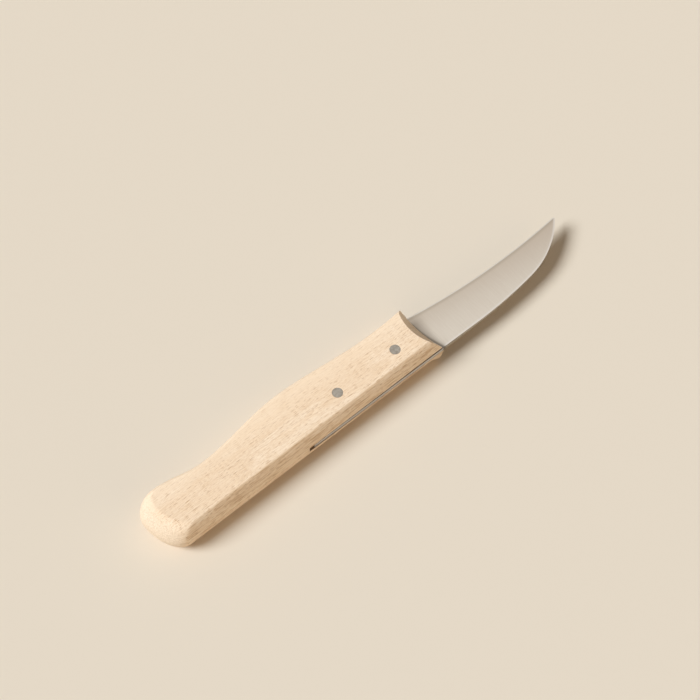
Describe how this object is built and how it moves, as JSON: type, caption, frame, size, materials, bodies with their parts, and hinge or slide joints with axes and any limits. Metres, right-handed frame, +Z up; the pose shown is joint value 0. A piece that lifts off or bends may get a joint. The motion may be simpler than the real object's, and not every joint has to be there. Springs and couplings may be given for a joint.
{
  "type": "paring knife",
  "caption": "Small paring knife: solid pale wood handle, short curved blade with a concave cutting edge, its tang set in a saw kerf and pinned by flush rivets.",
  "frame": {"origin": "bottom centre of the bounding box, in the plane of the handle's lower flat face, on which the knife lies", "axes": "+X along the knife from the handle's butt to the blade's tip, +Y in the blade's plane towards the cutting edge and the handle's belly, +Z up, across the handle's thickness"},
  "size_m": [0.1668, 0.0206, 0.0126],
  "materials": {
    "beech": "pale beech, sanded smooth and oiled",
    "blade_steel": "stainless steel, fine satin grind across the blade",
    "rivet_metal": "matt, ground flush with the wood"
  },
  "bodies": {
    "root": {"handle": "beech", "blade": "blade_steel", "front_rivet": "rivet_metal", "rear_rivet": "rivet_metal"}
  },
  "joints": []
}
